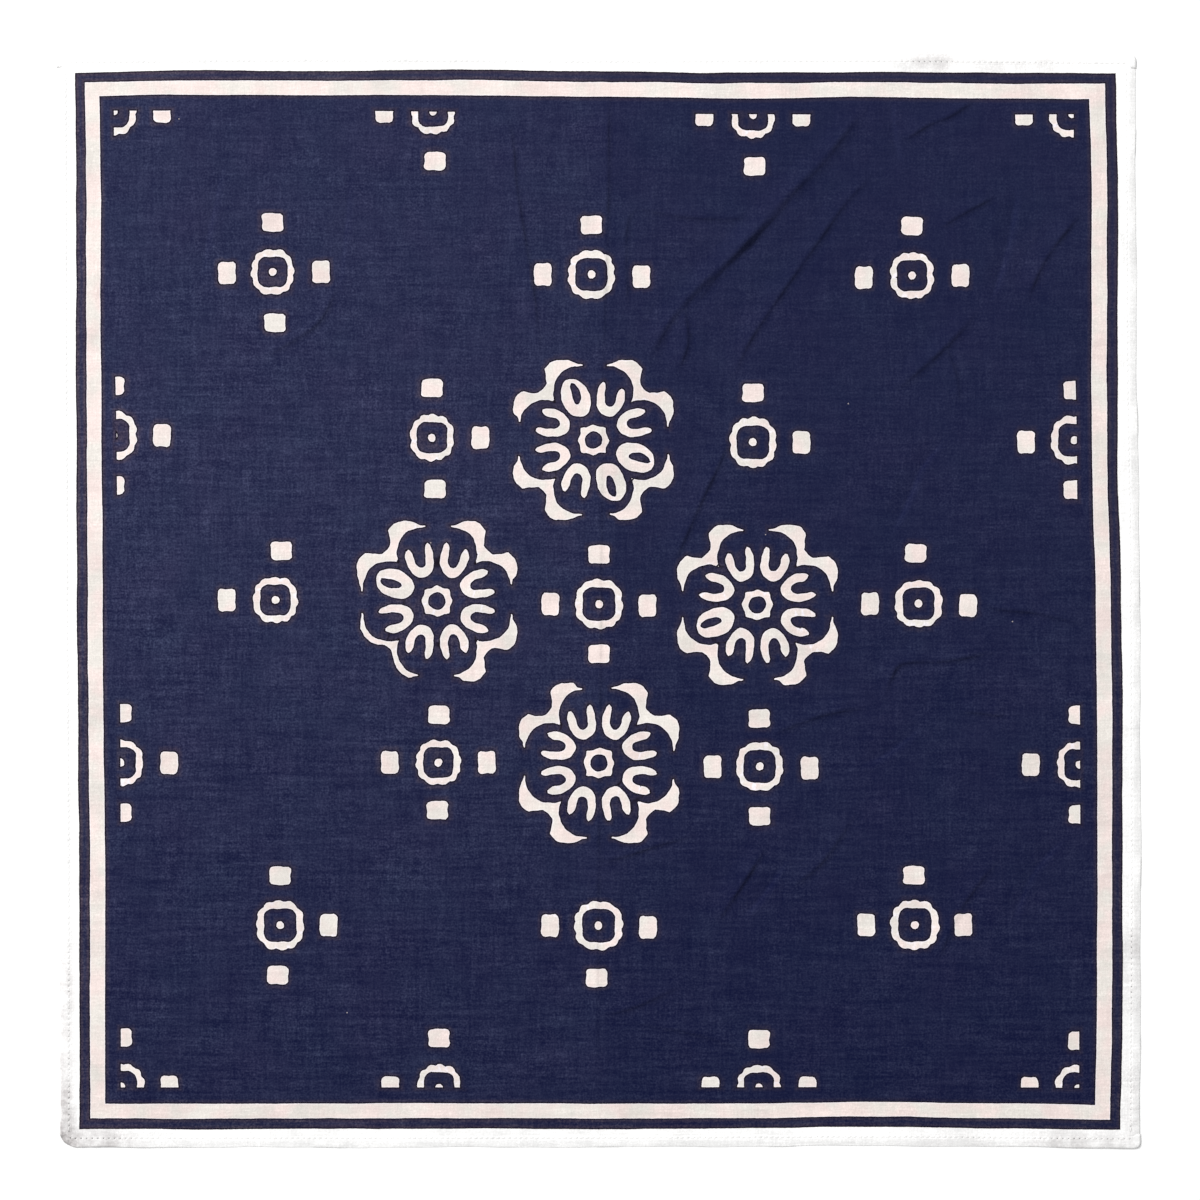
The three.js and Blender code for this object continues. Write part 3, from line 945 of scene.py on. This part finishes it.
class Recipe:
    """A material's node tree, with short ways to add to it."""

    def __init__(self, name):
        self.material = bpy.data.materials.new(name)
        self.material.use_nodes = True
        self.tree = self.material.node_tree
        self.shader = self.tree.nodes["Principled BSDF"]

    def feed(self, socket, value):
        if isinstance(value, bpy.types.NodeSocket):
            self.tree.links.new(value, socket)
        else:
            socket.default_value = value

    def add(self, kind, inputs=None, **settings):
        node = self.tree.nodes.new(kind)
        for key, value in settings.items():
            setattr(node, key, value)
        for key, value in (inputs or {}).items():
            self.feed(node.inputs[key], value)
        return node

    def math(self, operation, first, second=0.0, clamp=False):
        inputs = {0: first, 1: second}
        return self.add("ShaderNodeMath", inputs, operation=operation, use_clamp=clamp).outputs[0]

    def step(self, value, edge, softness):
        """0 below the edge and 1 above it, over a soft width."""
        inputs = {"Value": value, "From Min": edge - softness, "From Max": edge + softness}
        return self.add("ShaderNodeMapRange", inputs, interpolation_type="SMOOTHSTEP").outputs[0]

    def noise(self, vector, stretch, detail=2.0, roughness=0.5, shift=0.0):
        """Noise about 0, with its own scale along X, Y and Z."""
        inputs = {"Vector": vector, "Location": (shift, shift, shift), "Scale": stretch}
        placed = self.add("ShaderNodeMapping", inputs).outputs[0]
        inputs = {"Vector": placed, "Scale": 1.0, "Detail": detail, "Roughness": roughness}
        return self.math("SUBTRACT", self.add("ShaderNodeTexNoise", inputs).outputs[0], 0.5)

    def total(self, *shares):
        """The sum of values, each times its weight."""
        result = 0.0
        for value, weight in shares:
            inputs = {0: value, 1: weight, 2: result}
            result = self.add("ShaderNodeMath", inputs, operation="MULTIPLY_ADD").outputs[0]
        return result

    def mix(self, share, first, second):
        node = self.add("ShaderNodeMix", {0: share}, data_type="RGBA")
        colours = [socket for socket in node.inputs if socket.type == "RGBA"]
        self.feed(colours[0], first)
        self.feed(colours[1], second)
        return [socket for socket in node.outputs if socket.type == "RGBA"][0]

    def ramp(self, share, steps):
        """A value that changes smoothly through (place, value) steps."""
        node = self.add("ShaderNodeValToRGB", {0: share})
        node.color_ramp.interpolation = "EASE"
        for _ in steps[2:]:
            node.color_ramp.elements.new(0.5)
        for element, (place, value) in zip(node.color_ramp.elements, steps):
            element.position = place
            element.color = (value, value, value, 1)
        return node.outputs[0]

    def scaled(self, colour, factor):
        """The colour times a grey factor."""
        node = self.add("ShaderNodeVectorMath", {0: colour, "Scale": factor}, operation="SCALE")
        return node.outputs[0]

    def vector(self, operation, first, second):
        """Two vectors added, subtracted or multiplied."""
        return self.add("ShaderNodeVectorMath", {0: first, 1: second}, operation=operation).outputs[0]

    def parts(self, vector):
        return self.add("ShaderNodeSeparateXYZ", {0: vector}).outputs

    def stored(self, name):
        """The values that a piece's mesh holds under a name."""
        return self.add("ShaderNodeAttribute", attribute_name=name).outputs

    def finish(self, inputs):
        """The material, with these inputs to its shader."""
        for name, value in inputs.items():
            self.feed(self.shader.inputs[name], value)
        return self.material


def gauze(recipe):
    """Thick and thin yarns both ways, the long ones across strongest towards the bottom.

    Gives the place, how light it is and how high it stands.
    """
    place = recipe.add("ShaderNodeTexCoord").outputs["Object"]
    parts = recipe.parts(place)
    grain = recipe.noise(place, (1000, 1000, 1), detail=1, shift=2.9)
    short_weft = recipe.noise(place, (190, 900, 1), roughness=0.6)
    short_warp = recipe.noise(place, (1000, 210, 1), roughness=0.6, shift=7.3)
    long_weft = recipe.noise(place, (30, 430, 1), roughness=0.6, shift=4.1)
    long_weft = recipe.math("MULTIPLY", long_weft, recipe.total((parts["Y"], -1.1), (1.1, 1.0)))
    long_warp = recipe.noise(place, (470, 36, 1), roughness=0.6, shift=5.2)
    patches = recipe.noise(place, (95, 95, 1), shift=3.1)
    yarns = recipe.total((short_weft, 1.0), (short_warp, 0.8), (long_weft, 1.0), (long_warp, 0.7))
    slubs = recipe.total((yarns, 1.0), (grain, 1.9), (patches, 0.65))
    clusters = recipe.total((recipe.noise(place, (60, 60, 1), detail=1, shift=8.6), 1.1), (1.0, 1.0))
    slubs = recipe.math("MULTIPLY", slubs, clusters)
    slubs = recipe.total((slubs, 1.0), (recipe.math("MULTIPLY", slubs, slubs), 0.5), (1.0, -0.02))
    turns = 2 * math.pi / (YARN_PITCH * MM)
    across = recipe.math("SINE", recipe.math("MULTIPLY", parts["X"], turns))
    along = recipe.math("SINE", recipe.math("MULTIPLY", parts["Y"], turns))
    weave = recipe.math("MULTIPLY", across, along)
    height = recipe.total((weave, 0.25), (yarns, 1.2), (grain, 0.8))
    return place, slubs, height


def finish_cloth(recipe, colour, height):
    """Matt cotton: the colour, a faint sheen from its fuzz, and the yarns' relief."""
    bump = recipe.add("ShaderNodeBump", {"Height": height, "Strength": 0.5, "Distance": YARN_RELIEF * MM})
    return recipe.finish({"Base Color": colour, "Normal": bump.outputs[0], **COTTON_FINISH})


def shares(recipe, place):
    """How far across and how far up the cloth a place is, from 0 to 1."""
    parts = recipe.parts(place)
    across = recipe.total((parts["X"], 1 / CLOTH_WIDTH), (0.5, 1.0))
    up = recipe.total((parts["Y"], 1 / CLOTH_LENGTH), (0.5, 1.0))
    return across, up


def wear_and_light_share(recipe, place):
    """Where the navy is lighter, partly worn dye and partly painted light: most left of the middle fold,
    whose lit side is painted, and about the middle of the length.
    """
    across, up = shares(recipe, place)
    worn_and_lit = recipe.math("MULTIPLY", recipe.ramp(across, WEAR_AND_LIGHT_ACROSS), recipe.ramp(up, WEAR_AND_LIGHT_UP))
    clouds = recipe.noise(place, (28, 28, 1), detail=4, roughness=0.6, shift=5.7)
    return recipe.total((worn_and_lit, 1.0), (clouds, 0.35))


def frame_lines(recipe, place, ragged):
    """How far a place lies in from the outer lines of the print, of the pale band and of the field."""
    from_lines = recipe.parts(recipe.stored("frame_place")["Vector"])
    nearest = recipe.math("MINIMUM", from_lines["X"], from_lines["Y"])
    inward = recipe.total((nearest, 1.0), (ragged, INK_RAGGEDNESS * MM))
    wander = recipe.noise(place, (34, 34, 1), detail=3, shift=4.4)
    drift = recipe.noise(place, (47, 47, 1), detail=3, shift=6.2)
    outer = recipe.total((inward, 1.0), (wander, OUTER_WANDER * MM))
    stripe = recipe.total((inward, 1.0), (drift, STRIPE_WANDER * MM), (-STRIPE_WIDTH * MM, 1.0))
    frame_width = (STRIPE_WIDTH + BAND_WIDTH) * MM
    band = recipe.total((inward, 1.0), (wander, BAND_WANDER * MM), (-frame_width, 1.0))
    return outer, stripe, band


def ink_share(recipe, place):
    """How navy a place is, 1 on ink and 0 on bare cotton.

    Also whether it is in the print, whether it is past the outer stripe, and how far the ink's edge is.
    """
    ragged = recipe.noise(place, (900, 900, 1), shift=1.3)
    softness = INK_SOFTNESS * MM
    spread = INK_SPREAD * MM
    outer, stripe, band = frame_lines(recipe, place, ragged)
    inside = recipe.step(outer, -spread, softness)
    past_stripe = recipe.step(stripe, spread, softness)
    past_band = recipe.step(band, -spread, softness)
    ground = recipe.total((past_stripe, -1.0), (past_band, 1.0), (inside, 1.0))
    window = recipe.parts(recipe.stored("window_place")["Vector"])
    in_window = recipe.math("MINIMUM", window["X"], window["Y"])
    off_ornament = recipe.math("MAXIMUM", window["Z"], recipe.math("MULTIPLY", in_window, -1.0))
    off_ornament = recipe.total((off_ornament, 1.0), (ragged, INK_RAGGEDNESS * MM))
    off_bare = recipe.step(off_ornament, -spread, softness)
    share = recipe.math("MULTIPLY", ground, off_bare, clamp=True)
    to_edge = recipe.math("MINIMUM", recipe.math("ABSOLUTE", stripe), recipe.math("ABSOLUTE", band))
    to_edge = recipe.math("MINIMUM", to_edge, recipe.math("ABSOLUTE", outer))
    to_edge = recipe.math("MINIMUM", to_edge, recipe.math("ABSOLUTE", off_ornament))
    return share, inside, past_stripe, to_edge


def lint_specks(recipe, place):
    """A very few pale specks of lint."""
    cells = recipe.add("ShaderNodeTexVoronoi", {"Vector": place, "Scale": 24.0}, voronoi_dimensions="2D")
    close = recipe.math("LESS_THAN", cells.outputs["Distance"], 0.008)
    chosen = recipe.math("GREATER_THAN", recipe.parts(cells.outputs["Color"])["X"], 0.95)
    return recipe.math("MULTIPLY", close, chosen)


def tinted(recipe, colour, share, first, second):
    """The colour times a tint that goes from the first to the second."""
    return recipe.vector("MULTIPLY", colour, recipe.mix(share, first, second))


def navy_ink(recipe, place, slubs, past_stripe, to_edge):
    """Dyed yarns, darker and lighter, worn and painted lighter in places, browner and then darker where the
    ink ends.
    """
    worn_and_lit = wear_and_light_share(recipe, place)
    # Worn dye mixed with painted light: the painted sheen from the upper left and the fold's lit side.
    navy = recipe.mix(worn_and_lit, DARK_NAVY, WORN_AND_LIT_NAVY)
    contrast = recipe.total((worn_and_lit, 0.65), (shares(recipe, place)[1], -0.25), (0.33, 1.0))
    lighter = recipe.scaled(LIGHTER_YARN, recipe.math("MULTIPLY", slubs, contrast))
    navy = recipe.vector("ADD", navy, lighter)
    hue = recipe.total((recipe.noise(place, (32, 32, 1), detail=3, shift=9.1), 2.2), (0.5, 1.0))
    navy = tinted(recipe, navy, hue, PURPLE_CAST, TEAL_CAST)
    by_edge = recipe.step(to_edge, EDGE_CAST_REACH * MM, EDGE_CAST_SOFTNESS * MM)
    navy = tinted(recipe, navy, by_edge, EDGE_CAST, NO_TINT)
    navy = tinted(recipe, navy, past_stripe, STRIPE_CAST, NO_TINT)
    by_rim = recipe.step(to_edge, EDGE_INK_REACH * MM, EDGE_SOFTNESS * MM)
    navy = recipe.mix(by_rim, EDGE_INK, navy)
    return recipe.mix(recipe.math("MULTIPLY", lint_specks(recipe, place), 0.4), navy, PALE_COTTON)


def painted_edge_shade(recipe, place):
    """Painted shade on the edges, most at the bottom left corner."""
    nearness = []
    for x, y, half_width, half_height, dark in EDGE_SHADE_PATCHES:
        middle = (x * MM, y * MM, 0)
        spread = (1 / half_width / MM, 1 / half_height / MM, 0)
        offset = recipe.vector("SUBTRACT", place, middle)
        scaled = recipe.vector("MULTIPLY", offset, spread)
        far = recipe.add("ShaderNodeVectorMath", {0: scaled}, operation="LENGTH").outputs["Value"]
        nearness.append((recipe.math("SUBTRACT", 1.0, recipe.step(far, 0.8, 0.45)), dark))
    patches = recipe.noise(place, (130, 130, 1), detail=4, roughness=0.65, shift=2.2)
    shade_patches = recipe.step(patches, -0.01, 0.18)
    return recipe.math("MULTIPLY", recipe.total(*nearness), recipe.total((shade_patches, 0.8), (0.2, 1.0)))


def bare_cotton(recipe, place, slubs, inside, to_edge):
    """Unprinted yarns, whitest in the margin and beside the ink, with painted shade on the edges, and how
    strong that shade is.
    """
    hue = recipe.total((recipe.noise(place, (60, 60, 1), detail=3, shift=12.1), 5.5), (0.5, 1.0))
    pale = tinted(recipe, PALE_COTTON[:3], hue, PINK_STAIN, GREEN_STAIN)
    by_ink = recipe.step(to_edge, EDGE_COTTON_REACH * MM, EDGE_SOFTNESS * MM)
    pale = recipe.mix(by_ink, EDGE_COTTON, pale)
    bare = recipe.mix(inside, WHITE_COTTON, pale)
    # Painted shade on the edges: the cotton tinted grey and darkened in patches.
    edge_shade = painted_edge_shade(recipe, place)
    bare = tinted(recipe, bare, edge_shade, NO_TINT, EDGE_SHADE_TINT)
    stains = recipe.noise(place, (50, 50, 1), detail=4, roughness=0.6, shift=10.3)
    shade = recipe.total((slubs, 0.15), (stains, 0.4), (edge_shade, -0.42), (1.0, 1.0))
    return recipe.scaled(bare, shade), edge_shade


def printed_cloth(name, ink):
    """Slubby cotton gauze with the navy print, full on its face and thinner on its back."""
    recipe = Recipe(name)
    place, slubs, height = gauze(recipe)
    share, inside, past_stripe, to_edge = ink_share(recipe, place)
    navy = navy_ink(recipe, place, slubs, past_stripe, to_edge)
    bare, _ = bare_cotton(recipe, place, slubs, inside, to_edge)
    colour = recipe.mix(recipe.math("MULTIPLY", share, ink), bare, navy)
    return finish_cloth(recipe, colour, height)


def plain_cloth(name):
    """The same gauze, unprinted, with painted shadow in its needle holes, darkest under the painted shade
    on the edges.
    """
    recipe = Recipe(name)
    place, slubs, height = gauze(recipe)
    bare, edge_shade = bare_cotton(recipe, place, slubs, 0.0, 1.0)
    # Painted shadow in the needle holes, stronger under the painted shade on the edges.
    hole = recipe.stored("needle_hole")["Fac"]
    hole_shadow_share = recipe.math("MULTIPLY", hole, recipe.total((edge_shade, 1.6), (0.35, 1.0)))
    colour = recipe.mix(recipe.step(hole_shadow_share, 0.42, 0.36), bare, HOLE_SHADOW)
    return finish_cloth(recipe, colour, height)


def sewing_thread():
    """White cotton thread with its twist."""
    recipe = Recipe("sewing thread")
    place = recipe.add("ShaderNodeTexCoord").outputs["Object"]
    twist = recipe.noise(place, (3000, 3000, 3000), detail=1)
    colour = recipe.scaled(THREAD_WHITE[:3], recipe.total((twist, 0.3), (1.0, 1.0)))
    return finish_cloth(recipe, colour, twist)


def floor_finish():
    """A plain pale matt surface."""
    recipe = Recipe("pale floor")
    place = recipe.add("ShaderNodeTexCoord").outputs["Object"]
    faint = recipe.total((recipe.noise(place, (4, 4, 1)), 0.5), (0.5, 1.0))
    colour = recipe.mix(faint, FLOOR_WHITE, FLOOR_GREY)
    return recipe.finish({"Base Color": colour, **FLOOR_FINISH})


def make_camera():
    """Straight above the cloth, with the photo's square frame 600 mm across on it."""
    data = bpy.data.cameras.new("camera")
    data.lens = LENS
    data.sensor_width = SENSOR
    camera = bpy.data.objects.new("camera", data)
    bpy.context.collection.objects.link(camera)
    camera.location = (PHOTO_MIDDLE_X, 0, CLOTH_LEVEL + PHOTO_SPAN * LENS / SENSOR)
    bpy.context.scene.camera = camera


def add_softbox(name, place, size, power):
    """A square soft light turned towards the middle of the cloth."""
    data = bpy.data.lights.new(name, "AREA")
    data.shape = "SQUARE"
    data.size = size
    data.energy = power
    light = bpy.data.objects.new(name, data)
    bpy.context.collection.objects.link(light)
    light.location = place
    light.rotation_euler = (-Vector(place)).to_track_quat("-Z", "Y").to_euler()


def make_stage():
    """The floor, the white surroundings and the soft light from the upper left."""
    bpy.ops.object.select_all(action="DESELECT")
    bpy.ops.mesh.primitive_plane_add(size=FLOOR_SIZE)
    floor = bpy.context.active_object
    floor.name = "floor"
    floor.data.materials.append(floor_finish())
    world = bpy.data.worlds.new("white surroundings")
    world.use_nodes = True
    world.node_tree.nodes["Background"].inputs["Color"].default_value = (1, 1, 1, 1)
    world.node_tree.nodes["Background"].inputs["Strength"].default_value = SURROUNDINGS_STRENGTH
    bpy.context.scene.world = world
    add_softbox("upper left softbox", SOFTBOX_PLACE, SOFTBOX_SIZE, SOFTBOX_POWER)
    bpy.context.scene.view_settings.view_transform = "Standard"


make_camera()
make_stage()

panel = make_panel()
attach(panel, "root")
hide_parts("cloth_panel")

for side in ("bottom", "top", "left", "right"):
    hem = make_hem(side)
    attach(hem, "root")
    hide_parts(f"hem_{side}")

stitching = make_stitching()
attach(stitching, "root")
